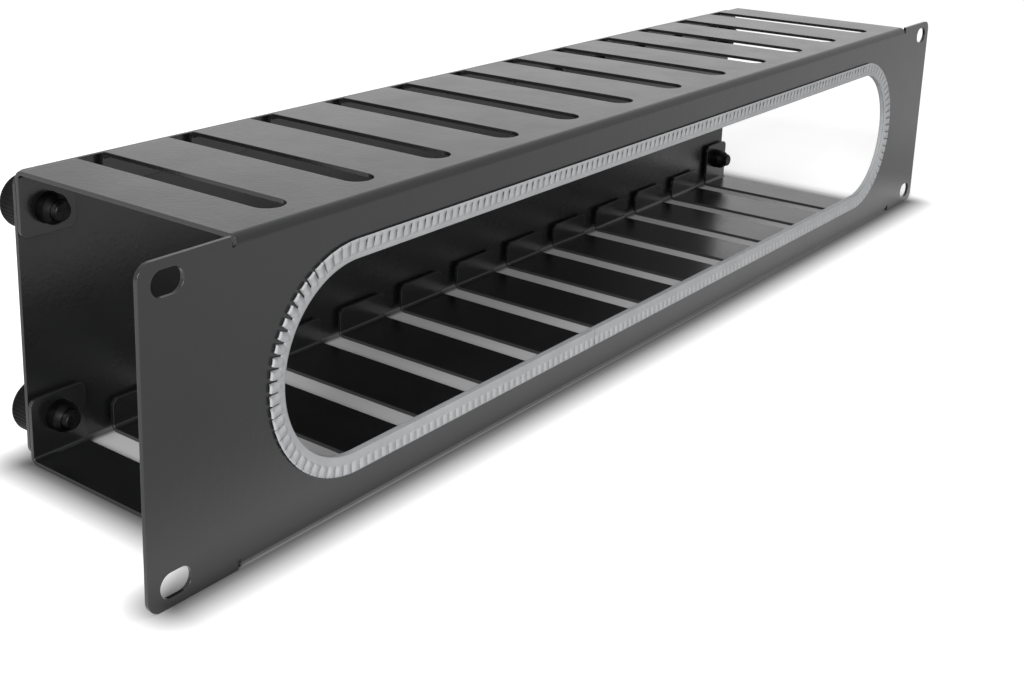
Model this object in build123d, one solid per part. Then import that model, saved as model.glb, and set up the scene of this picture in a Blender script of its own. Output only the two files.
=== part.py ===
from build123d import *
from math import cos, pi, sin
import os

# Horizontal cable manager, two rack units high, for a 19 inch rack.
# All sizes are in millimetres. X runs along the width, Y runs to the rear and
# Z is up. The origin is the centre of the four ear holes, on the rear face of
# the panel, which is the face that bears on the rack's rails.

# Front bracket: one folded sheet, panel in front, flanges above and below.
panel_width = 482.6
panel_height = 88.0
sheet = 1.2
ear_width = 30.3
body_depth = 87.0
bend_inside_radius = 1.3
ear_corner_radius = 4.0
relief_width = 1.4
relief_extra_depth = 0.2

# Ear holes: the pattern of a two unit rack panel.
ear_hole_side_distance = 8.75
ear_hole_edge_distance = 5.9
ear_hole_height = 6.8
ear_hole_length = 10.0

# Cable slots in the flanges, open at the rear, which leave the fingers.
slot_count = 12
slot_width = 10.0
end_finger_width = 19.0
slot_front_distance = 9.0

# Tabs at the finger ends, bent towards each other.
low_tab_height = 10.5
tall_tab_height = 20.0
tall_tab_corner_radius = 2.6
low_tab_corner_chamfer = 1.6

# Long cable opening in the panel.
opening_end_distance = 14.0
opening_edge_distance = 15.0

# Castellated edge trim pushed over the rim of the opening.
trim_grip = 4.2
trim_web = 1.4
trim_lip = 1.1
trim_rim_gap = 0.15
trim_tooth_height = 3.4
trim_tooth_pitch = 3.05
trim_slit = 0.25
trim_joint_x = -48.5
trim_joint_gap = 0.5

# Rear cover plate.
cover_side_inset = 0.5
cover_height_inset = 1.0
cover_corner_radius = 4.0

# Screws that hold the cover to the tall tabs.
screw_edge_distance = 12.5
stud_diameter = 6.0
stud_running_clearance = 0.05
stud_end_length = 1.8
stud_depth_in_knob = 6.5
cover_hole_clearance = 0.3
knob_diameter = 16.0
knob_length = 9.0
knob_edge_chamfer = 0.8
knob_face_clearance = 0.05

# Threaded inserts in the tall tabs.
insert_barrel_diameter = 9.0
insert_barrel_length = 5.0
insert_hole_clearance = 0.1
insert_flange_diameter = 13.0
insert_flange_thickness = 1.0

# Worked out from the sizes above.
front_y = -sheet
tab_outer_y = front_y + body_depth
tab_inner_y = tab_outer_y - sheet
half_height = panel_height / 2
body_width = panel_width - 2 * ear_width
body_half = body_width / 2
ear_hole_x = panel_width / 2 - ear_hole_side_distance
ear_hole_z = half_height - ear_hole_edge_distance
opening_length = body_width - 2 * opening_end_distance
opening_height = panel_height - 2 * opening_edge_distance
bend_outside_radius = bend_inside_radius + sheet
relief_depth = bend_outside_radius + relief_extra_depth
slot_radius = slot_width / 2
slot_front_center = front_y + slot_front_distance + slot_radius
outer_slot_edge = body_half - end_finger_width
slot_span = 2 * (outer_slot_edge - slot_radius)
slot_pitch = slot_span / (slot_count - 1)
slot_xs = [i * slot_pitch - slot_span / 2 for i in range(slot_count)]
screw_x = body_half - end_finger_width / 2
screw_z = half_height - screw_edge_distance
screw_places = [
    ("left_bottom", -screw_x, -screw_z),
    ("right_bottom", screw_x, -screw_z),
    ("left_top", -screw_x, screw_z),
    ("right_top", screw_x, screw_z),
]
cover_front_y = tab_outer_y + insert_flange_thickness
cover_rear_y = cover_front_y + sheet
knob_front_y = cover_rear_y + knob_face_clearance
barrel_end_y = tab_inner_y - insert_barrel_length
stud_front_y = barrel_end_y - stud_end_length
bore_diameter = stud_diameter + 2 * stud_running_clearance
cover_hole_diameter = stud_diameter + 2 * cover_hole_clearance


def rearward(sketch, y, depth):
    """A sketch in X and Z, placed at depth y and made solid to the rear."""
    return extrude(Plane.XZ.offset(-y) * sketch, amount=depth, dir=(0, 1, 0))


def folded_channel():
    """The front panel and both flanges with their bent tabs, as one fold."""
    outside = RectangleRounded(body_depth, panel_height, bend_outside_radius)
    inside = RectangleRounded(
        body_depth - 2 * sheet, panel_height - 2 * sheet, bend_inside_radius
    )
    rear_gap = Pos(body_depth / 2) * Rectangle(
        4 * sheet, panel_height - 2 * tall_tab_height
    )
    section = Pos(front_y + body_depth / 2) * (outside - inside - rear_gap)
    return extrude(Plane.YZ.offset(-body_half) * section, amount=body_width)


def ears():
    """Flat ears left and right of the channel, with rounded outer corners."""
    outline = RectangleRounded(panel_width, panel_height, ear_corner_radius)
    outline -= Rectangle(body_width, panel_height)
    relief_x = body_half + relief_width / 2
    for side in (-1, 1):
        for level in (-1, 1):
            outline -= Pos(side * relief_x, level * half_height) * Rectangle(
                relief_width, 2 * relief_depth
            )
    return rearward(outline, front_y, sheet)


def ear_holes():
    holes = Sketch()
    for side in (-1, 1):
        for level in (-1, 1):
            place = Pos(side * ear_hole_x, level * ear_hole_z)
            holes += place * SlotOverall(ear_hole_length, ear_hole_height)
    return rearward(holes, front_y - sheet, 3 * sheet)


def stadium(growth):
    """The outline of the cable opening, grown or shrunk all round."""
    return SlotOverall(opening_length + 2 * growth, opening_height + 2 * growth)


def finger_slots():
    """Slots through both flanges, round in front and open at the rear."""
    slot_rear = tab_outer_y + sheet
    shape = Sketch()
    for x in slot_xs:
        shape += Pos(x, slot_front_center) * Circle(slot_radius)
        shape += Pos(x, (slot_front_center + slot_rear) / 2) * Rectangle(
            slot_width, slot_rear - slot_front_center
        )
    return Pos(Z=-panel_height) * extrude(shape, amount=2 * panel_height)


def low_tab_trim():
    """What comes off the middle tabs so that only the end ones stay tall."""
    return Pos(Y=tab_outer_y) * Box(
        2 * outer_slot_edge, 4 * sheet, panel_height - 2 * low_tab_height
    )


def tab_corners(solid, tab_height):
    """The short edges at the free corners of the tabs of one height."""
    level = half_height - tab_height
    tab_middle_y = (tab_inner_y + tab_outer_y) / 2
    found = []
    for edge in solid.edges().filter_by(Axis.Y):
        center = edge.center()
        on_tab = abs(center.Y - tab_middle_y) < sheet / 4
        if on_tab and abs(abs(center.Z) - level) < sheet / 4:
            found.append(edge)
    return found


def screw_holes(diameter, y, depth):
    """Four round holes on the screw axes, past both sides of a wall."""
    holes = Sketch()
    for _, x, z in screw_places:
        holes += Pos(x, z) * Circle(diameter / 2)
    return rearward(holes, y - depth, 3 * depth)


def front_bracket():
    bracket = folded_channel() + ears()
    bracket -= finger_slots()
    bracket -= low_tab_trim()
    bracket = fillet(tab_corners(bracket, tall_tab_height), tall_tab_corner_radius)
    bracket = chamfer(tab_corners(bracket, low_tab_height), low_tab_corner_chamfer)
    bracket -= rearward(stadium(0), front_y - sheet, 3 * sheet)
    bracket -= ear_holes()
    insert_hole_diameter = insert_barrel_diameter + 2 * insert_hole_clearance
    return bracket - screw_holes(insert_hole_diameter, tab_inner_y, sheet)


def rear_cover():
    outline = RectangleRounded(
        body_width - 2 * cover_side_inset,
        panel_height - 2 * cover_height_inset,
        cover_corner_radius,
    )
    plate = rearward(outline, cover_front_y, sheet)
    return plate - screw_holes(cover_hole_diameter, cover_front_y, sheet)


def rim_point(travel, outward):
    """A point beside the rim of the opening: how far along it from the middle
    of the bottom, and how far outward of it. Gives the place and the outward
    direction."""
    radius = opening_height / 2
    half = (opening_length - opening_height) / 2
    arc = pi * radius
    travel = travel % (4 * half + 2 * arc)
    reach = radius + outward
    if travel < half:
        return travel, -reach, 0, -1
    if travel < half + arc:
        turn = (travel - half) / radius
        return half + reach * sin(turn), -reach * cos(turn), sin(turn), -cos(turn)
    if travel < 3 * half + arc:
        return half - (travel - half - arc), reach, 0, 1
    if travel < 3 * half + 2 * arc:
        turn = (travel - 3 * half - arc) / radius
        return -half - reach * sin(turn), reach * cos(turn), -sin(turn), cos(turn)
    return travel - 4 * half - 2 * arc, -reach, 0, -1


def toothed_outline():
    """The front lip of the trim: a band round the opening, cut into teeth by
    narrow wedges, which the round ends spread apart."""
    radius = opening_height / 2
    rim_length = 2 * (opening_length - opening_height) + 2 * pi * radius
    count = round((rim_length - trim_joint_gap) / trim_tooth_pitch)
    pitch = (rim_length - trim_joint_gap) / count
    start = trim_joint_x + trim_joint_gap / 2
    root = trim_grip - trim_tooth_height
    half_tooth = (pitch - trim_slit) / 2
    corners = [rim_point(start, root)[:2]]
    for tooth in range(count):
        x, z, out_x, out_z = rim_point(start + (tooth + 0.5) * pitch, trim_grip)
        for along in (-half_tooth, half_tooth):
            corners.append((x - out_z * along, z + out_x * along))
        corners.append(rim_point(start + (tooth + 1) * pitch, root)[:2])
    return make_face(Polyline(*corners, close=True))


def edge_trim():
    """U section strip: a web inside the opening, a toothed lip in front of the
    panel and a plain one behind it. Its ends meet in the bottom run."""
    front_lip = toothed_outline() - stadium(-trim_web)
    web = stadium(-trim_rim_gap) - stadium(-trim_web)
    rear_lip = stadium(trim_grip) - stadium(-trim_web)
    trim = rearward(front_lip, front_y - trim_lip, trim_lip)
    trim += rearward(web, front_y, sheet)
    trim += rearward(rear_lip, front_y + sheet, trim_lip)
    joint = Pos(trim_joint_x, -opening_height / 2) * Rectangle(
        trim_joint_gap, 4 * trim_grip
    )
    return trim - rearward(joint, front_y - 2 * trim_lip, 2 * sheet + 4 * trim_lip)


def turned(radii_and_depths, x, z):
    """A round piece about the screw axis from pairs of radius and depth."""
    outline = make_face(Polyline(*[(r, y) for r, y in radii_and_depths], close=True))
    return Pos(x, 0, z) * revolve(outline, axis=Axis.Y)


def threaded_insert(x, z):
    """Pressed insert: its flange lies behind the tab and its barrel runs
    through to the inside."""
    barrel = insert_barrel_diameter / 2
    flange = insert_flange_diameter / 2
    bore = bore_diameter / 2
    return turned(
        [
            (bore, barrel_end_y),
            (barrel, barrel_end_y),
            (barrel, tab_outer_y),
            (flange, tab_outer_y),
            (flange, cover_front_y),
            (bore, cover_front_y),
        ],
        x,
        z,
    )


def stud(x, z):
    length = knob_front_y + stud_depth_in_knob - stud_front_y
    return rearward(Pos(x, z) * Circle(stud_diameter / 2), stud_front_y, length)


def knob(x, z):
    """A round knob with a broken rear edge and a socket for the stud."""
    body = rearward(Pos(x, z) * Circle(knob_diameter / 2), knob_front_y, knob_length)
    rear_edge = body.edges().filter_by(GeomType.CIRCLE).sort_by(Axis.Y)[-1]
    body = chamfer(rear_edge, knob_edge_chamfer)
    socket = Pos(x, z) * Circle(stud_diameter / 2)
    return body - rearward(socket, knob_front_y - sheet, stud_depth_in_knob + sheet)


def all_parts():
    parts = {
        "front_bracket": front_bracket(),
        "rear_cover": rear_cover(),
        "edge_trim": edge_trim(),
    }
    for name, x, z in screw_places:
        parts["threaded_insert_" + name] = threaded_insert(x, z)
        parts["thumb_knob_" + name] = knob(x, z)
        parts["thumb_stud_" + name] = stud(x, z)
    return parts


os.makedirs("parts", exist_ok=True)
for part_name, part_solid in all_parts().items():
    part_solid.label = part_name
    export_step(part_solid, "parts/" + part_name + ".step")
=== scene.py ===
from math import cos, pi, radians, sin, sqrt

import bmesh
import bpy
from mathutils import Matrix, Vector


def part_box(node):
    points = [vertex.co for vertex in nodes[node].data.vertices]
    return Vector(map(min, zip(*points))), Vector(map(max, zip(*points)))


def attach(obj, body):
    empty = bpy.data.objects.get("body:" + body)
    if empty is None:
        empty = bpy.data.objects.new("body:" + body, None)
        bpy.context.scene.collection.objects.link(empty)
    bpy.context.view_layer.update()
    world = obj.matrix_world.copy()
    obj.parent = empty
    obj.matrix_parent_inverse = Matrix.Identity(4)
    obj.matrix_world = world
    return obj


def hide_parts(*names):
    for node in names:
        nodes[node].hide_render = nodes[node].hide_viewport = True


# Looks for the horizontal cable manager. Lengths are in metres, in the frame
# of the solids: X along the width, Y to the rear, Z up, with the origin at the
# centre of the four ear holes on the rear face of the panel.
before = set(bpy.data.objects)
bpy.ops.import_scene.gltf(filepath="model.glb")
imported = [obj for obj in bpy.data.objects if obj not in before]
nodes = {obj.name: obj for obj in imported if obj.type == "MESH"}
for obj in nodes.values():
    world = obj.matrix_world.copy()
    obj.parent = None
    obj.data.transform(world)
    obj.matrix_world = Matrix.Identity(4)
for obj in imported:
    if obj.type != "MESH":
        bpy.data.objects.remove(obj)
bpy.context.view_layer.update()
scene = bpy.context.scene
MM = 0.001
PLACES = ("left_bottom", "right_bottom", "left_top", "right_top")

# Camera at the photograph's viewpoint. Its turn is in degrees.
IMAGE_WIDTH = 1024
SENSOR_WIDTH = 36.0
CAMERA_PLACE = (-0.4324, -0.2356, 0.1473)
CAMERA_TURN = (75.03, -1.12, -51.15)
CAMERA_FOCAL_PIXELS = 1418.9
CAMERA_SHIFT = (0.08, -0.17)
CAMERA_CLIP = (0.01, 50.0)

camera_data = bpy.data.cameras.new("camera")
camera = bpy.data.objects.new("camera", camera_data)
scene.collection.objects.link(camera)
camera.location = CAMERA_PLACE
camera.rotation_euler = [radians(angle) for angle in CAMERA_TURN]
camera_data.sensor_width = SENSOR_WIDTH
camera_data.lens = CAMERA_FOCAL_PIXELS / IMAGE_WIDTH * SENSOR_WIDTH
camera_data.shift_x, camera_data.shift_y = CAMERA_SHIFT
camera_data.clip_start, camera_data.clip_end = CAMERA_CLIP
scene.camera = camera
scene.view_settings.view_transform = "Standard"

# Sizes read from the solids.
trim_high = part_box("edge_trim")[1]
bracket_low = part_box("front_bracket")[0]
FLOOR_Z = bracket_low.z
SHEET = -bracket_low.y

# Node helpers, for the materials, the world and the floor.
NOISE_ROUGHNESS = 0.55
# The part of a noise's range that a colour or a roughness follows.
NOISE_LOW = 0.3
NOISE_HIGH = 0.7
BEVEL_SAMPLES = 6
# Sockets of the Mix node when it mixes colours.
MIX_FACTOR = 0
MIX_FIRST = 6
MIX_SECOND = 7
MIX_RESULT = 2


def new_material(name):
    material = bpy.data.materials.new(name)
    material.use_nodes = True
    tree = material.node_tree
    tree.nodes.clear()
    return material, tree


def add(tree, kind, **settings):
    """A new node of a kind, with these settings."""
    node = tree.nodes.new(kind)
    for key, value in settings.items():
        setattr(node, key, value)
    return node


def math(tree, operation, first, second=0.0):
    """A math node on one or two values, each an output or a number."""
    node = add(tree, "ShaderNodeMath", operation=operation)
    for socket, value in ((node.inputs[0], first), (node.inputs[1], second)):
        if isinstance(value, float):
            socket.default_value = value
        else:
            tree.links.new(value, socket)
    return node.outputs[0]


def noise(tree, scale, detail=3.0, stretch=(1, 1, 1)):
    """Noise in object coordinates. The scale is in features per metre."""
    place = add(tree, "ShaderNodeTexCoord")
    mapping = add(tree, "ShaderNodeMapping")
    mapping.inputs["Scale"].default_value = stretch
    tree.links.new(place.outputs["Object"], mapping.inputs["Vector"])
    texture = add(tree, "ShaderNodeTexNoise")
    texture.inputs["Scale"].default_value = scale
    texture.inputs["Detail"].default_value = detail
    texture.inputs["Roughness"].default_value = NOISE_ROUGHNESS
    tree.links.new(mapping.outputs["Vector"], texture.inputs["Vector"])
    return texture.outputs["Fac"]


def ramp(tree, value, dark, light, low=NOISE_LOW, high=NOISE_HIGH):
    """A linear colour that goes from dark to light as the value rises."""
    node = add(tree, "ShaderNodeValToRGB")
    stops = ((low, dark), (high, light))
    for element, (position, color) in zip(node.color_ramp.elements, stops):
        element.position = position
        element.color = (*color, 1.0)
    tree.links.new(value, node.inputs["Fac"])
    return node.outputs["Color"]


def remap(tree, value, low, high, to_low, to_high):
    """A value stretched from one range to another, and held at its ends."""
    node = add(tree, "ShaderNodeMapRange")
    node.inputs["From Min"].default_value = low
    node.inputs["From Max"].default_value = high
    node.inputs["To Min"].default_value = to_low
    node.inputs["To Max"].default_value = to_high
    tree.links.new(value, node.inputs["Value"])
    return node.outputs["Result"]


def mix(tree, factor, first, second):
    """A colour output mixed with a plain colour."""
    node = add(tree, "ShaderNodeMix", data_type="RGBA")
    tree.links.new(factor, node.inputs[MIX_FACTOR])
    tree.links.new(first, node.inputs[MIX_FIRST])
    node.inputs[MIX_SECOND].default_value = (*second, 1.0)
    return node.outputs[MIX_RESULT]


def rounded_normal(tree, radius):
    """Normal that runs round the edges as if they had this radius."""
    bevel = add(tree, "ShaderNodeBevel", samples=BEVEL_SAMPLES)
    bevel.inputs["Radius"].default_value = radius
    return bevel.outputs["Normal"]


def edge_mask(tree, radius, start, end):
    """Where the surface turns within a small radius: 1 on edges, 0 on flats."""
    geometry = add(tree, "ShaderNodeNewGeometry")
    dot = add(tree, "ShaderNodeVectorMath", operation="DOT_PRODUCT")
    tree.links.new(rounded_normal(tree, radius), dot.inputs[0])
    tree.links.new(geometry.outputs["Normal"], dot.inputs[1])
    return remap(tree, dot.outputs["Value"], start, end, 0.0, 1.0)


def bumps(tree, layers, round_edges=None):
    """Bump layers (height output, strength, distance), one on the other."""
    normal = rounded_normal(tree, round_edges) if round_edges else None
    for height, strength, distance in layers:
        bump = add(tree, "ShaderNodeBump")
        bump.inputs["Strength"].default_value = strength
        bump.inputs["Distance"].default_value = distance
        tree.links.new(height, bump.inputs["Height"])
        if normal:
            tree.links.new(normal, bump.inputs["Normal"])
        normal = bump.outputs["Normal"]
    return normal


def shader(tree, color, rough, normal, metallic=0.0, specular=0.5):
    principled = add(tree, "ShaderNodeBsdfPrincipled")
    output = add(tree, "ShaderNodeOutputMaterial")
    principled.inputs["Metallic"].default_value = metallic
    principled.inputs["Specular IOR Level"].default_value = specular
    tree.links.new(color, principled.inputs["Base Color"])
    tree.links.new(rough, principled.inputs["Roughness"])
    tree.links.new(normal, principled.inputs["Normal"])
    tree.links.new(principled.outputs["BSDF"], output.inputs["Surface"])


# Materials. Names that end in SCALE are noise scales, in features per metre.
POWDER_DARK = (0.0052, 0.0054, 0.0056)
POWDER_LIGHT = (0.0075, 0.0077, 0.008)
POWDER_SPECK = (0.03, 0.03, 0.031)
POWDER_WEAR_AND_HIGHLIGHT = (0.024, 0.0245, 0.025)
POWDER_CLOUD_SCALE = 14.0
POWDER_SHEEN_SCALE = 55.0
POWDER_PEEL_SCALE = 620.0
POWDER_GRAIN_SCALE = 1900.0
# Grain at which the specks start and are full, and how strong they are then.
SPECK_START = 0.62
SPECK_END = 0.75
SPECK_STRENGTH = 0.2
POWDER_BUMP = 0.2
PEEL_DEPTH = 0.2 * MM
GRAIN_DEPTH = 0.08 * MM
POWDER_EDGE = 0.3 * MM
# Edges lightened partly by wear and partly as a painted highlight: reach, and
# the agreement of the normals where the lightening starts and ends.
WEAR_HIGHLIGHT_REACH = 0.6 * MM
WEAR_HIGHLIGHT_START = 0.95
WEAR_HIGHLIGHT_END = 0.75

GREY_DARK = (0.315, 0.322, 0.33)
GREY_LIGHT = (0.36, 0.367, 0.375)
GREY_PAINTED_SHADE = (0.245, 0.249, 0.254)
GREY_COLOR_SCALE = 90.0
GREY_ROUGH_SCALE = 700.0
GREY_GRAIN_SCALE = 1500.0
GREY_ROUGH = (0.42, 0.55)
GREY_SPECULAR = 0.45
GREY_BUMP = 0.15
GREY_DEPTH = 0.1 * MM
# Shade painted into the trim's colour in the hollows between the teeth: reach,
# and the open share where the painted shade is full and where it is gone again.
HOLLOW_SAMPLES = 8
HOLLOW_REACH = 0.7 * MM
PAINTED_SHADE_FULL = 0.25
PAINTED_SHADE_NONE = 0.7

KNOB_DARK = (0.0035, 0.0035, 0.0037)
KNOB_LIGHT = (0.006, 0.006, 0.0062)
KNOB_WORN = (0.009, 0.009, 0.0093)
KNOB_COLOR_SCALE = 300.0
KNOB_GRAIN_SCALE = 2400.0
KNOB_ROUGH = (0.4, 0.52)
KNOB_SPECULAR = 0.05
KNOB_BUMP = 0.3
KNOB_GRAIN_DEPTH = 0.1 * MM
KNOB_WORN_REACH = 0.3 * MM
KNOB_WORN_START = 0.95
KNOB_WORN_END = 0.7

STEEL_COLOR_SCALE = 420.0
STEEL_RING_SCALE = 900.0
RING_STRETCH = (0.15, 1.0, 0.15)
STEEL_DARK_END = 0.35
STEEL_BUMP = 0.2
STEEL_RING_DEPTH = 0.1 * MM
STEEL_EDGE = 0.1 * MM


def powder_coat(name, rough_low, rough_high):
    """Black powder coat on sheet steel: fine orange peel, slight mottling,
    small specks, and thin edges lightened partly by wear and partly as a
    painted highlight."""
    material, tree = new_material(name)
    cloudy = noise(tree, POWDER_CLOUD_SCALE)
    grain = noise(tree, POWDER_GRAIN_SCALE, detail=2.0)
    peel = noise(tree, POWDER_PEEL_SCALE, detail=2.0)
    color = ramp(tree, cloudy, POWDER_DARK, POWDER_LIGHT)
    speck = remap(tree, grain, SPECK_START, SPECK_END, 0.0, SPECK_STRENGTH)
    color = mix(tree, speck, color, POWDER_SPECK)
    # Edges lightened: partly wear, partly a painted highlight.
    lighter_edges = edge_mask(tree, WEAR_HIGHLIGHT_REACH, WEAR_HIGHLIGHT_START, WEAR_HIGHLIGHT_END)
    color = mix(tree, lighter_edges, color, POWDER_WEAR_AND_HIGHLIGHT)
    sheen = noise(tree, POWDER_SHEEN_SCALE)
    rough = remap(tree, sheen, NOISE_LOW, NOISE_HIGH, rough_low, rough_high)
    layers = [(peel, POWDER_BUMP, PEEL_DEPTH), (grain, POWDER_BUMP, GRAIN_DEPTH)]
    shader(tree, color, rough, bumps(tree, layers, round_edges=POWDER_EDGE))
    return material


def grey_plastic(name):
    """Soft grey plastic of the edge trim, a little matt and uneven, with shade
    painted into its colour in the hollows between the teeth."""
    material, tree = new_material(name)
    color = ramp(tree, noise(tree, GREY_COLOR_SCALE), GREY_DARK, GREY_LIGHT)
    # Painted shade: the colour darkens where ambient occlusion finds a hollow.
    hollow = add(
        tree, "ShaderNodeAmbientOcclusion", samples=HOLLOW_SAMPLES, only_local=True
    )
    hollow.inputs["Distance"].default_value = HOLLOW_REACH
    shade = remap(tree, hollow.outputs["AO"], PAINTED_SHADE_FULL, PAINTED_SHADE_NONE, 1.0, 0.0)
    color = mix(tree, shade, color, GREY_PAINTED_SHADE)
    uneven = noise(tree, GREY_ROUGH_SCALE)
    rough = remap(tree, uneven, NOISE_LOW, NOISE_HIGH, *GREY_ROUGH)
    grain = noise(tree, GREY_GRAIN_SCALE, detail=2.0)
    normal = bumps(tree, [(grain, GREY_BUMP, GREY_DEPTH)])
    shader(tree, color, rough, normal, specular=GREY_SPECULAR)
    return material


def black_plastic(name):
    """Moulded black plastic of the knobs, with fine grain and edges lighter from wear."""
    material, tree = new_material(name)
    grain = noise(tree, KNOB_GRAIN_SCALE, detail=2.0)
    color = ramp(tree, noise(tree, KNOB_COLOR_SCALE), KNOB_DARK, KNOB_LIGHT)
    lighter_edges = edge_mask(tree, KNOB_WORN_REACH, KNOB_WORN_START, KNOB_WORN_END)
    color = mix(tree, lighter_edges, color, KNOB_WORN)
    rough = remap(tree, grain, NOISE_LOW, NOISE_HIGH, *KNOB_ROUGH)
    normal = bumps(tree, [(grain, KNOB_BUMP, KNOB_GRAIN_DEPTH)])
    shader(tree, color, rough, normal, specular=KNOB_SPECULAR)
    return material


def plated_steel(name, dark, light, rough_low, rough_high):
    """Turned or rolled steel with fine rings along the screw axis."""
    material, tree = new_material(name)
    rings = noise(tree, STEEL_RING_SCALE, detail=2.0, stretch=RING_STRETCH)
    cloudy = noise(tree, STEEL_COLOR_SCALE, detail=4.0)
    color = ramp(tree, cloudy, dark, light, low=STEEL_DARK_END)
    rough = remap(tree, rings, NOISE_LOW, NOISE_HIGH, rough_low, rough_high)
    normal = bumps(tree, [(rings, STEEL_BUMP, STEEL_RING_DEPTH)], round_edges=STEEL_EDGE)
    shader(tree, color, rough, normal, metallic=1.0)
    return material


bracket_paint = powder_coat("bracket_powder_coat", rough_low=0.21, rough_high=0.27)
cover_paint = powder_coat("cover_powder_coat", rough_low=0.25, rough_high=0.31)
trim_plastic = grey_plastic("trim_grey_plastic")
knob_plastic = black_plastic("knob_black_plastic")
insert_steel = plated_steel(
    "insert_dark_steel",
    dark=(0.006, 0.006, 0.0063),
    light=(0.012, 0.012, 0.0125),
    rough_low=0.4,
    rough_high=0.55,
)
stud_steel = plated_steel(
    "stud_plated_steel",
    dark=(0.008, 0.008, 0.0083),
    light=(0.02, 0.02, 0.0205),
    rough_low=0.35,
    rough_high=0.5,
)


def dress(obj, material):
    obj.data.materials.clear()
    obj.data.materials.append(material)


dress(nodes["front_bracket"], bracket_paint)
dress(nodes["rear_cover"], cover_paint)

# Mesh helpers.
MERGE_DISTANCE = 1e-7


def mesh_object(name, points, faces, material, smooth_angle=40.0):
    """A new object. Edges that turn more than the angle, in degrees, are sharp."""
    mesh = bpy.data.meshes.new(name)
    mesh.from_pydata([tuple(p) for p in points], [], faces)
    work = bmesh.new()
    work.from_mesh(mesh)
    bmesh.ops.remove_doubles(work, verts=work.verts, dist=MERGE_DISTANCE)
    bmesh.ops.recalc_face_normals(work, faces=work.faces)
    work.to_mesh(mesh)
    work.free()
    mesh.shade_smooth()
    mesh.set_sharp_from_angle(angle=radians(smooth_angle))
    obj = bpy.data.objects.new(name, mesh)
    scene.collection.objects.link(obj)
    mesh.materials.append(material)
    return obj


def skin(loops, around=False):
    """Points and faces of a skin through loops of equally many points. Either
    the last loop joins the first, or both ends are closed by a face."""
    size = len(loops[0])
    rings = len(loops) if around else len(loops) - 1
    faces = []
    for ring in range(rings):
        first = ring * size
        second = (ring + 1) % len(loops) * size
        for i in range(size):
            j = (i + 1) % size
            faces.append((first + i, first + j, second + j, second + i))
    if not around:
        faces.append(tuple(range(size)))
        faces.append(tuple(rings * size + i for i in reversed(range(size))))
    return [point for loop in loops for point in loop], faces


def turned_point(center, radius, angle, y):
    """A point at a radius and an angle about the screw axis through center."""
    return (center.x + radius * cos(angle), y, center.z + radius * sin(angle))


def revolved(name, profile, center, count, material, ripple=None):
    """A closed ring of profile points (radius, y), turned about the screw axis
    through center. Points with radius 0 close the ends. ripple(angle, radius,
    y) gives a change of the radius."""
    loops = []
    for step in range(count):
        angle = 2 * pi * step / count
        loop = []
        for radius, y in profile:
            change = ripple(angle, radius, y) if ripple and radius > 0 else 0.0
            loop.append(turned_point(center, radius + change, angle, y))
        loops.append(loop)
    return mesh_object(name, *skin(loops, around=True), material)


# Edge trim. Travel is the way along the rim from the middle of its bottom run,
# to the right first. The strip's two ends meet at the joint. It reaches as far
# as the grip outside the rim, and as far as the web inside it.
TOOTH_PITCH = 3.05 * MM
JOINT_X = -48.5 * MM
JOINT_GAP = 0.3 * MM
TRIM_GRIP = 4.2 * MM
TRIM_WEB = 1.4 * MM
TRIM_LIP = trim_high.y
RIM_RADIUS = trim_high.z - TRIM_GRIP
RIM_HALF = trim_high.x - TRIM_GRIP - RIM_RADIUS
RIM_LENGTH = 4 * RIM_HALF + 2 * pi * RIM_RADIUS

# Section of the strip: the smooth band beside the teeth, the web's rounded
# corners, the play beside the sheet, and the groove in the web's inner face.
BAND_HEIGHT = 0.6 * MM
WEB_CORNER = 0.3 * MM
CORNER_SHARE = 0.3
WEB_PLAY = 0.1 * MM
WEB_GROOVE = 0.35 * MM

# Teeth start this far outside the rim. They are shorter on the lower half,
# fully so where the outward direction is near enough to straight down.
TOOTH_HEIGHT = 4.1 * MM
TOOTH_ROOT = TRIM_GRIP - TOOTH_HEIGHT
LOWER_ROOT_RISE = 0.8 * MM
ROOT_RISE_START = 0.2
ROOT_RISE_END = 0.95

# One lip from a tooth's root out over the tip and under it: how far out, and
# the height above the panel on the tooth's crest and in the pocket beside it.
LIP_POINTS = [
    (0.02, 0.62 * MM, 0.58 * MM),
    (0.07, 0.80 * MM, 0.53 * MM),
    (0.13, 0.97 * MM, 0.48 * MM),
    (0.22, 1.05 * MM, 0.46 * MM),
    (0.64, 1.08 * MM, 0.52 * MM),
    (0.77, TRIM_LIP, 0.76 * MM),
    (0.86, 1.06 * MM, 0.97 * MM),
    (0.95, 0.94 * MM, 0.91 * MM),
    (1.00, 0.70 * MM, 0.67 * MM),
    (0.95, 0.36 * MM, 0.34 * MM),
    (0.87, 0.0, 0.0),
]

# Places across a tooth, from one slit (-1) to the other (1), where its crest
# lies, and the share of the crest's height that is left at the other slit.
TOOTH_STATIONS = (-1.0, -0.5, -0.12, 0.1, 0.5, 1.0)
CREST_PLACE = 0.0
CREST_END_HEIGHT = 0.5

# Slits between the teeth: their widths, and how far they stop short of the
# teeth's roots. A slit of the width SLIT_ROUND_FROM or more has a round end,
# with points at these shares of its width.
SLIT_CLOSED = 0.016 * MM
SLIT_LEFT = 0.6 * MM
SLIT_RIGHT = 0.12 * MM
SLIT_STATIONS = (0.0, 0.2, 0.5, 0.8, 1.0)
SLIT_ROUND_FROM = 0.2 * MM
SLIT_SHORTER = 0.85 * MM
ARC_SHORTER = 0.8 * MM

# How far the corners of the tips are drawn in on the arcs and at the joint,
# and the reach along the lip over which that comes in.
NOTCH_LEFT = 0.22 * MM
NOTCH_RIGHT = 0.12 * MM
NOTCH_START = 0.62
JOINT_NOTCH = 0.4 * MM
JOINT_NOTCH_START = 0.15
JOINT_NOTCH_END = 0.75

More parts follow.
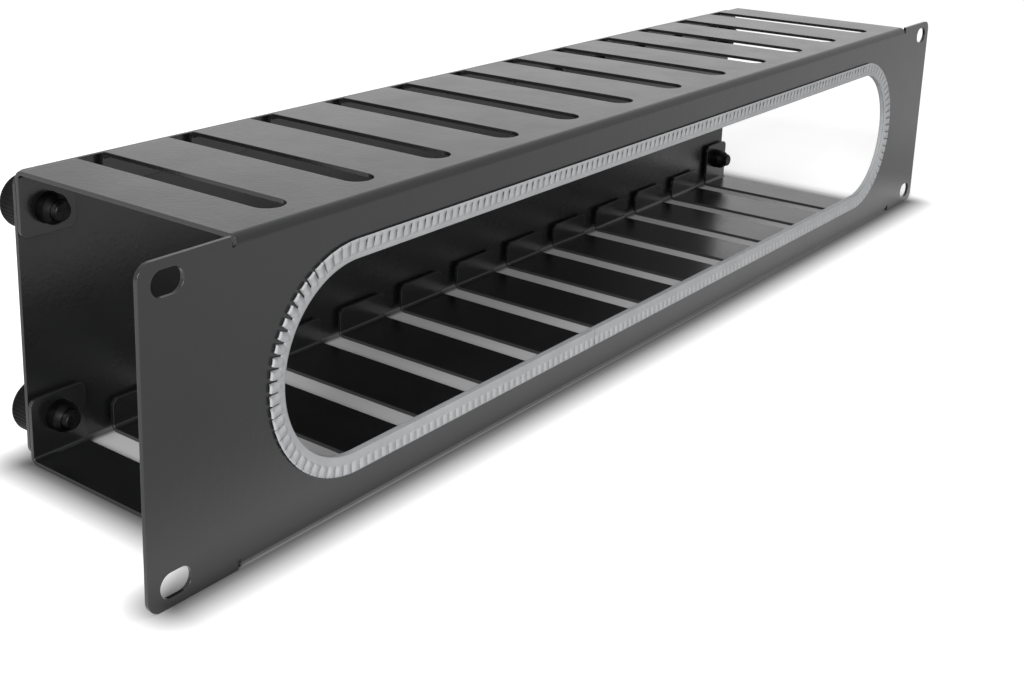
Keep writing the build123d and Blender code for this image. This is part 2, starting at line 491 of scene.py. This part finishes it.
# Stretches of the left arc, as angles past its top in radians: a soft step up
# and a soft step down, each with its start and end.
OPEN_STRETCH = ((0.25, 0.6), (1.35, 2.1))
SHORT_STRETCH = ((1.2, 1.6), (1.9, 2.5))
NOTCH_STRETCH = ((0.5, 1.2), (2.7, 3.2))


def rim_frame(travel):
    """Centre line of the rim at a travel: place in X and Z, and the outward
    direction."""
    arc = pi * RIM_RADIUS
    travel = travel % RIM_LENGTH
    if travel < RIM_HALF:
        return Vector((travel, -RIM_RADIUS)), Vector((0, -1))
    if travel < RIM_HALF + arc:
        turn = (travel - RIM_HALF) / RIM_RADIUS
        out = Vector((sin(turn), -cos(turn)))
        return Vector((RIM_HALF, 0)) + RIM_RADIUS * out, out
    if travel < 3 * RIM_HALF + arc:
        return Vector((2 * RIM_HALF + arc - travel, RIM_RADIUS)), Vector((0, 1))
    if travel < 3 * RIM_HALF + 2 * arc:
        turn = (travel - 3 * RIM_HALF - arc) / RIM_RADIUS
        out = Vector((-sin(turn), cos(turn)))
        return Vector((-RIM_HALF, 0)) + RIM_RADIUS * out, out
    return Vector((travel - 4 * RIM_HALF - 2 * arc, -RIM_RADIUS)), Vector((0, -1))


def ease(value, start, end):
    """0 before start, 1 after end, and a soft step between them."""
    share = min(1.0, max(0.0, (value - start) / (end - start)))
    return share * share * (3 - 2 * share)


def left_turn(travel):
    """Angle past the top of the left arc, in radians. 0 to pi lie on the arc."""
    return (travel % RIM_LENGTH - 3 * RIM_HALF - pi * RIM_RADIUS) / RIM_RADIUS


def left_bend(travel, stretch):
    """1 on a stretch of the left arc and 0 off it, with its soft steps."""
    turn = left_turn(travel)
    step_up, step_down = stretch
    return ease(turn, *step_up) * (1 - ease(turn, *step_down))


def right_bend(travel):
    """1 in the middle of the right arc, and down to 0 at its two ends."""
    return sin(min(pi, max(0.0, (travel % RIM_LENGTH - RIM_HALF) / RIM_RADIUS)))


def tooth_root(travel):
    """How far outside the rim a tooth starts."""
    place, out = rim_frame(travel)
    return TOOTH_ROOT + LOWER_ROOT_RISE * ease(-out.y, ROOT_RISE_START, ROOT_RISE_END)


def slit_width(travel):
    """The slits stand open where the strip is bent, most of all at the upper
    left, and are all but closed on the straight runs."""
    left = SLIT_LEFT * left_bend(travel, OPEN_STRETCH)
    return SLIT_CLOSED + left + SLIT_RIGHT * right_bend(travel)


def slit_stations(travel, width):
    """Places across a slit as a share of its width, with how far outside the
    rim its end lies there. A closed slit has only its two walls."""
    if width < SLIT_ROUND_FROM:
        root = tooth_root(travel) + ARC_SHORTER * left_bend(travel, SHORT_STRETCH)
        return [(0.0, root), (1.0, root)]
    radius = width / 2
    end = TOOTH_ROOT + SLIT_SHORTER
    return [
        (share, end + radius * (1 - sqrt(max(0.0, 1 - (2 * share - 1) ** 2))))
        for share in SLIT_STATIONS
    ]


def lip_depth(side, height):
    """Y of a point at a height above the rear (side 1) or front (side -1) face
    of the panel."""
    return height if side > 0 else -SHEET - height


def tooth_rise(share):
    """Height across a tooth, 0 in the pocket and 1 on the crest: steep up from
    one slit and gently down to the other."""
    if share < CREST_PLACE:
        return (share + 1.0) / (CREST_PLACE + 1.0)
    return 1.0 - (1.0 - CREST_END_HEIGHT) * (share - CREST_PLACE) / (1.0 - CREST_PLACE)


def notch_half(travel):
    """How far each corner of a tip is drawn in, on the arcs where the strip is
    bent and its teeth spread."""
    left = NOTCH_LEFT * left_bend(travel, NOTCH_STRETCH)
    return left + NOTCH_RIGHT * right_bend(travel)


def tooth_lip(center, share, half, at_joint, root, side):
    """One lip across a tooth, at a share of its half width from its middle.
    Beside the joint the tooth is cut back to a wedge."""
    place, out = rim_frame(center)
    along = Vector((-out.y, out.x))
    rise = tooth_rise(share)
    notch = notch_half(center)
    result = []
    for reach, crest, pocket in LIP_POINTS:
        width = half - notch * ease(reach, NOTCH_START, 1.0)
        if at_joint:
            width -= JOINT_NOTCH * ease(reach, JOINT_NOTCH_START, JOINT_NOTCH_END)
        spot = place + out * (root + reach * (TRIM_GRIP - root)) + along * (share * width)
        result.append((spot.x, lip_depth(side, pocket + rise * (crest - pocket)), spot.y))
    return result


def slit_lip(travel, root, side):
    """One lip inside a slit: the slit's end, straight down to the panel."""
    place, out = rim_frame(travel)
    spot = place + out * root
    steps = len(LIP_POINTS) + 1
    return [
        (spot.x, lip_depth(side, BAND_HEIGHT * (1 - (i + 1) / steps)), spot.y)
        for i in range(len(LIP_POINTS))
    ]


def strip_section(travel, root, front_lip, rear_lip):
    """The closed section of the strip at a travel round the rim."""
    place, out = rim_frame(travel)
    front = lip_depth(-1, BAND_HEIGHT)
    rear = lip_depth(1, BAND_HEIGHT)
    inner = -TRIM_WEB
    corner = WEB_CORNER
    bend = CORNER_SHARE * WEB_CORNER
    groove = inner + WEB_GROOVE

    def at(outward, y):
        spot = place + out * outward
        return (spot.x, y, spot.y)

    loop = [at(root, front)]
    loop += front_lip
    loop += [at(root, -SHEET), at(-WEB_PLAY, -SHEET), at(-WEB_PLAY, 0), at(root, 0)]
    loop += reversed(rear_lip)
    loop += [
        at(root, rear),
        at(inner + corner, rear),
        at(inner + bend, rear - bend),
        at(inner, rear - corner),
        at(inner, -SHEET),
        at(groove, -SHEET - WEB_PLAY),
        at(groove, front + corner + WEB_PLAY),
        at(inner, front + corner),
        at(inner + bend, front + bend),
        at(inner + corner, front),
    ]
    return loop


def edge_trim_loops():
    """Sections of the castellated strip, tooth by tooth round the rim. Between
    two teeth the lips draw back to the slit's end."""
    count = round((RIM_LENGTH - JOINT_GAP) / TOOTH_PITCH)
    pitch = (RIM_LENGTH - JOINT_GAP) / count
    start = JOINT_X + JOINT_GAP / 2
    loops = []
    for tooth in range(count):
        center = start + (tooth + 0.5) * pitch
        slit = slit_width(center)
        half = (pitch - slit) / 2
        stations = slit_stations(center, slit)
        for share in TOOTH_STATIONS:
            root = stations[0][1] if abs(share) == 1.0 else tooth_root(center)
            at_joint = (tooth == 0 and share < 0) or (tooth == count - 1 and share > 0)
            lips = [tooth_lip(center, share, half, at_joint, root, side) for side in (-1, 1)]
            loops.append(strip_section(center + share * half, root, *lips))
        if tooth == count - 1:
            break
        for share, root in stations:
            travel = center + half + share * slit
            lips = [slit_lip(travel, root, side) for side in (-1, 1)]
            loops.append(strip_section(travel, root, *lips))
    return loops


trim = mesh_object(
    "edge_trim_strip", *skin(edge_trim_loops()), trim_plastic, smooth_angle=50.0
)
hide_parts("edge_trim")
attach(trim, "cable_manager")

# Thumb screws and inserts. The thread's groove falls from the crest's middle
# by the slope, less the offset that leaves the crest flat, down to full depth.
THREAD_PITCH = 1.0 * MM
THREAD_DEPTH = 0.5 * MM
THREAD_SLOPE = 1.5
THREAD_OFFSET = 0.2
THREAD_SIDES = 40
THREAD_STEPS = 8
STUD_BEVEL = 0.6 * MM

# Knob's outline near its two faces, in mm: in from the rim, and in from the
# front or the rear face.
KNOB_FRONT = ((0.9, 0.0), (0.3, 0.15), (0.0, 0.9), (0.0, 1.2))
KNOB_REAR = ((0.0, 1.5), (0.0, 1.2), (0.25, 0.45), (0.9, 0.0), (2.2, 0.0), (2.6, 0.5))
# The dish in the rear face: its depth, and where its flat floor has a point,
# as a share of the radius.
DISH_DEPTH = 0.7 * MM
DISH_MIDDLE = 0.25
# Ribs on the rim, between these distances from its two faces.
KNURL_COUNT = 40
KNURL_STEPS = 6
KNURL_DEPTH = 0.28 * MM
KNURL_FROM_FRONT = 1.0 * MM
KNURL_FROM_REAR = 1.3 * MM
KNURL_PLAY = 0.05 * MM

# Insert's barrel at its free end, in mm: in from its side, and back from the
# end. Its side has one more point this far ahead of the tab.
INSERT_SIDES = 64
BARREL_RADIUS = 4.5 * MM
BARREL_TAPER = ((1.1, 0.0), (0.1, 1.7), (0.0, 2.1))
BARREL_EDGE = 0.02 * MM
# Bevels are given across and then along the screw axis.
FLANGE_THICKNESS = 1.0 * MM
FLANGE_BEVEL = (0.3 * MM, 0.25 * MM)
BORE_BEVEL = (0.2 * MM, 0.35 * MM)
BORE_PLAY = 0.05 * MM


def screw_box(node):
    """Centre, low corner and high corner of a node's box."""
    low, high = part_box(node)
    return (low + high) / 2, low, high


def half_width(node):
    low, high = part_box(node)
    return (high.x - low.x) / 2


def threaded_stud(place):
    """Stud with a real helical thread and a bevelled front end."""
    node = "thumb_stud_" + place
    center, low, high = screw_box(node)
    radius = half_width(node)
    length = high.y - low.y
    rings = round(length / (THREAD_PITCH / THREAD_STEPS))
    loops = []
    for ring in range(rings + 1):
        y = low.y + length * ring / rings
        bevel = radius - STUD_BEVEL + (y - low.y)
        loop = []
        for side in range(THREAD_SIDES):
            angle = 2 * pi * side / THREAD_SIDES
            phase = ((y - low.y) / THREAD_PITCH - side / THREAD_SIDES) % 1.0
            groove = THREAD_SLOPE * abs(2 * phase - 1) - THREAD_OFFSET
            groove = min(1.0, max(0.0, groove))
            r = min(radius - THREAD_DEPTH * groove, bevel)
            loop.append(turned_point(center, r, angle, y))
        loops.append(loop)
    return mesh_object("threaded_stud_" + place, *skin(loops), stud_steel, smooth_angle=35.0)


def knurled_knob(place):
    """Round knob with fine ribs on its rim and a dished rear face."""
    node = "thumb_knob_" + place
    center, low, high = screw_box(node)
    radius = half_width(node)
    bore = half_width("thumb_stud_" + place)
    socket_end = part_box("thumb_stud_" + place)[1].y
    front, rear = low.y, high.y
    profile = [(bore, front)]
    profile += [(radius - inward * MM, front + back * MM) for inward, back in KNOB_FRONT]
    profile += [(radius - inward * MM, rear - ahead * MM) for inward, ahead in KNOB_REAR]
    profile += [
        (DISH_MIDDLE * radius, rear - DISH_DEPTH),
        (0.0, rear - DISH_DEPTH),
        (0.0, socket_end),
        (bore, socket_end),
    ]

    def ribs(angle, r, y):
        on_rim = r >= radius - KNURL_PLAY
        if not on_rim or y < front + KNURL_FROM_FRONT or y > rear - KNURL_FROM_REAR:
            return 0.0
        return -KNURL_DEPTH * (0.5 + 0.5 * cos(KNURL_COUNT * angle)) ** 2

    count = KNURL_COUNT * KNURL_STEPS
    return revolved("knurled_knob_" + place, profile, center, count, knob_plastic, ribs)


def turned_insert(place):
    """Pressed insert: a barrel that tapers at its free end, and its flange
    behind the tab."""
    node = "threaded_insert_" + place
    center, low, high = screw_box(node)
    flange = half_width(node)
    bore = half_width("thumb_stud_" + place) + BORE_PLAY
    tab_outer = high.y - FLANGE_THICKNESS
    tab_inner = tab_outer - SHEET
    profile = [(bore + BORE_BEVEL[0], low.y)]
    profile += [
        (BARREL_RADIUS - inward * MM, low.y + back * MM) for inward, back in BARREL_TAPER
    ]
    profile += [
        (BARREL_RADIUS, tab_inner - BARREL_EDGE),
        (BARREL_RADIUS, tab_outer),
        (flange, tab_outer),
        (flange, high.y - FLANGE_BEVEL[1]),
        (flange - FLANGE_BEVEL[0], high.y),
        (bore, high.y),
        (bore, low.y + BORE_BEVEL[1]),
    ]
    return revolved("turned_insert_" + place, profile, center, INSERT_SIDES, insert_steel)


for place in PLACES:
    stud = threaded_stud(place)
    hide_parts("thumb_stud_" + place)
    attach(stud, "thumb_screw_" + place)
    knob = knurled_knob(place)
    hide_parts("thumb_knob_" + place)
    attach(knob, "thumb_screw_" + place)
    insert = turned_insert(place)
    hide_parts("threaded_insert_" + place)
    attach(insert, "cable_manager")

# World: white to the camera, bright on rays that come by a gloss or through a
# clear material, and dim as a light.
WORLD_GLOSSY = 0.8
WORLD_LEVEL = 0.3

# The part's outline on the floor, round which a contact shadow is painted into
# the floor's colour, as a box for the body and one for the ears: middle, then
# half size, each in X and Y. The ears' box ends a little before the ears do,
# because the photograph's shadow is light at their ends.
FLOOR_SIZE = 6.0
BODY_FOOTPRINT = ((0.0, 0.0423), (0.211, 0.0435))
EAR_FOOTPRINT = ((0.0, -0.0006), (0.2335, 0.0006))

# Grey level of the floor under the part, at its outline and in the open: a
# contact shadow painted into the floor's colour. The distances below are all
# counted outwards from the outline.
FLOOR_SHADOW_UNDER = 0.5
FLOOR_SHADOW_EDGE = 0.12
FLOOR_COLOR = 0.86
UNDER_END = -0.002
SHADE_END = 0.0135

# Light added on rays from the camera, so that the floor is white beyond the
# contact shadow, and at the horizon too.
FLOOR_LIFT = 0.5
LIFT_START = 0.0025
LIFT_END = 0.02
FAR_WHITE_START = 0.3
FAR_WHITE_END = 1.2

# Light added on rays that come by a gloss: some at the part's foot, most just
# beside it, none from 5 to 8 cm out, and some again further off.
GLOSSY_LIFT_FOOT = 0.3
GLOSSY_LIFT_NEAR = 0.68
GLOSSY_LIFT_FAR = 0.25
GLOSSY_FOOT_END = 0.006
GLOSSY_NEAR_END = 0.05
GLOSSY_FAR_START = 0.08
GLOSSY_FAR_END = 0.2


def ray_kinds(tree):
    """1 on rays from the camera, and 1 on rays that come by a gloss or through
    a clear material."""
    path = add(tree, "ShaderNodeLightPath")
    glossy = path.outputs["Is Glossy Ray"]
    bounced = math(tree, "MAXIMUM", glossy, path.outputs["Is Transmission Ray"])
    return path.outputs["Is Camera Ray"], bounced


def white_world():
    world = bpy.data.worlds.new("studio")
    world.use_nodes = True
    tree = world.node_tree
    tree.nodes.clear()
    background = add(tree, "ShaderNodeBackground")
    output = add(tree, "ShaderNodeOutputWorld")
    background.inputs["Color"].default_value = (1.0, 1.0, 1.0, 1.0)
    from_camera, bounced = ray_kinds(tree)
    mirrored = math(tree, "MULTIPLY", bounced, WORLD_GLOSSY)
    seen = math(tree, "MAXIMUM", from_camera, mirrored)
    strength = math(tree, "MAXIMUM", seen, WORLD_LEVEL)
    tree.links.new(strength, background.inputs["Strength"])
    tree.links.new(background.outputs[0], output.inputs["Surface"])
    return world


def beyond_box(tree, footprint):
    """Distance on the floor outside a box, and below 0 inside it."""
    place = add(tree, "ShaderNodeTexCoord")
    split = add(tree, "ShaderNodeSeparateXYZ")
    tree.links.new(place.outputs["Object"], split.inputs[0])
    gaps = []
    for axis, (middle, half) in enumerate(zip(*footprint)):
        offset = math(tree, "ABSOLUTE", math(tree, "SUBTRACT", split.outputs[axis], middle))
        gaps.append(math(tree, "SUBTRACT", offset, half))
    corner = add(tree, "ShaderNodeCombineXYZ")
    for axis, gap in enumerate(gaps):
        tree.links.new(math(tree, "MAXIMUM", gap, 0.0), corner.inputs[axis])
    reach = add(tree, "ShaderNodeVectorMath", operation="LENGTH")
    tree.links.new(corner.outputs[0], reach.inputs[0])
    inside = math(tree, "MINIMUM", math(tree, "MAXIMUM", *gaps), 0.0)
    return math(tree, "ADD", reach.outputs["Value"], inside)


def painted_shadow_color(tree, outside):
    """Painted contact shadow: darkest at the outline, a quick step to the floor
    under the part and a slow one to the open floor."""
    under = remap(tree, outside, UNDER_END, 0.0, FLOOR_SHADOW_UNDER, FLOOR_SHADOW_EDGE)
    around = remap(tree, outside, 0.0, SHADE_END, FLOOR_SHADOW_EDGE, FLOOR_COLOR)
    return math(tree, "MAXIMUM", under, around)


def floor_strength(tree, outside):
    """Strength of the light added on rays from the camera and by a gloss."""
    from_camera, bounced = ray_kinds(tree)
    lift = remap(tree, outside, LIFT_START, LIFT_END, 0.0, FLOOR_LIFT)
    far_white = remap(tree, outside, FAR_WHITE_START, FAR_WHITE_END, 0.0, 1.0)
    seen = math(tree, "MULTIPLY", from_camera, math(tree, "MAXIMUM", lift, far_white))
    foot = remap(tree, outside, 0.0, GLOSSY_FOOT_END, GLOSSY_LIFT_FOOT, GLOSSY_LIFT_NEAR)
    beside = remap(tree, outside, 0.0, GLOSSY_NEAR_END, GLOSSY_LIFT_NEAR, 0.0)
    near = math(tree, "MINIMUM", foot, beside)
    far = remap(tree, outside, GLOSSY_FAR_START, GLOSSY_FAR_END, 0.0, GLOSSY_LIFT_FAR)
    mirrored = math(tree, "MULTIPLY", bounced, math(tree, "MAXIMUM", near, far))
    return math(tree, "MAXIMUM", seen, mirrored)


def white_floor():
    """Matt white floor with a contact shadow painted into its colour round the part."""
    material, tree = new_material("floor_white")
    diffuse = add(tree, "ShaderNodeBsdfDiffuse")
    glow = add(tree, "ShaderNodeEmission")
    total = add(tree, "ShaderNodeAddShader")
    output = add(tree, "ShaderNodeOutputMaterial")
    body = beyond_box(tree, BODY_FOOTPRINT)
    outside = math(tree, "MINIMUM", body, beyond_box(tree, EAR_FOOTPRINT))
    # Painted shadow: the floor's colour is darker round the part's outline.
    tree.links.new(painted_shadow_color(tree, outside), diffuse.inputs["Color"])
    tree.links.new(floor_strength(tree, outside), glow.inputs["Strength"])
    tree.links.new(diffuse.outputs[0], total.inputs[0])
    tree.links.new(glow.outputs[0], total.inputs[1])
    tree.links.new(total.outputs[0], output.inputs["Surface"])
    return material


def soft_lamp(name, place, size, power):
    """A wide lamp that shines at the origin. The power is in watts."""
    data = bpy.data.lights.new(name, "AREA")
    data.shape = "RECTANGLE"
    data.size, data.size_y = size
    data.energy = power
    lamp = bpy.data.objects.new(name, data)
    scene.collection.objects.link(lamp)
    lamp.location = place
    lamp.rotation_euler = (-Vector(place)).to_track_quat("-Z", "Y").to_euler()


scene.world = white_world()
bpy.ops.mesh.primitive_plane_add(size=FLOOR_SIZE, location=(0, 0, FLOOR_Z))
floor = bpy.context.object
floor.name = "floor"
dress(floor, white_floor())

soft_lamp("key", place=(-1.7, -0.6, 0.8), size=(0.8, 0.8), power=48.0)
soft_lamp("top", place=(0.0, -0.3, 1.6), size=(1.6, 1.2), power=6.0)
soft_lamp("rear", place=(1.75, 1.3, 0.5), size=(1.6, 0.9), power=1.0)
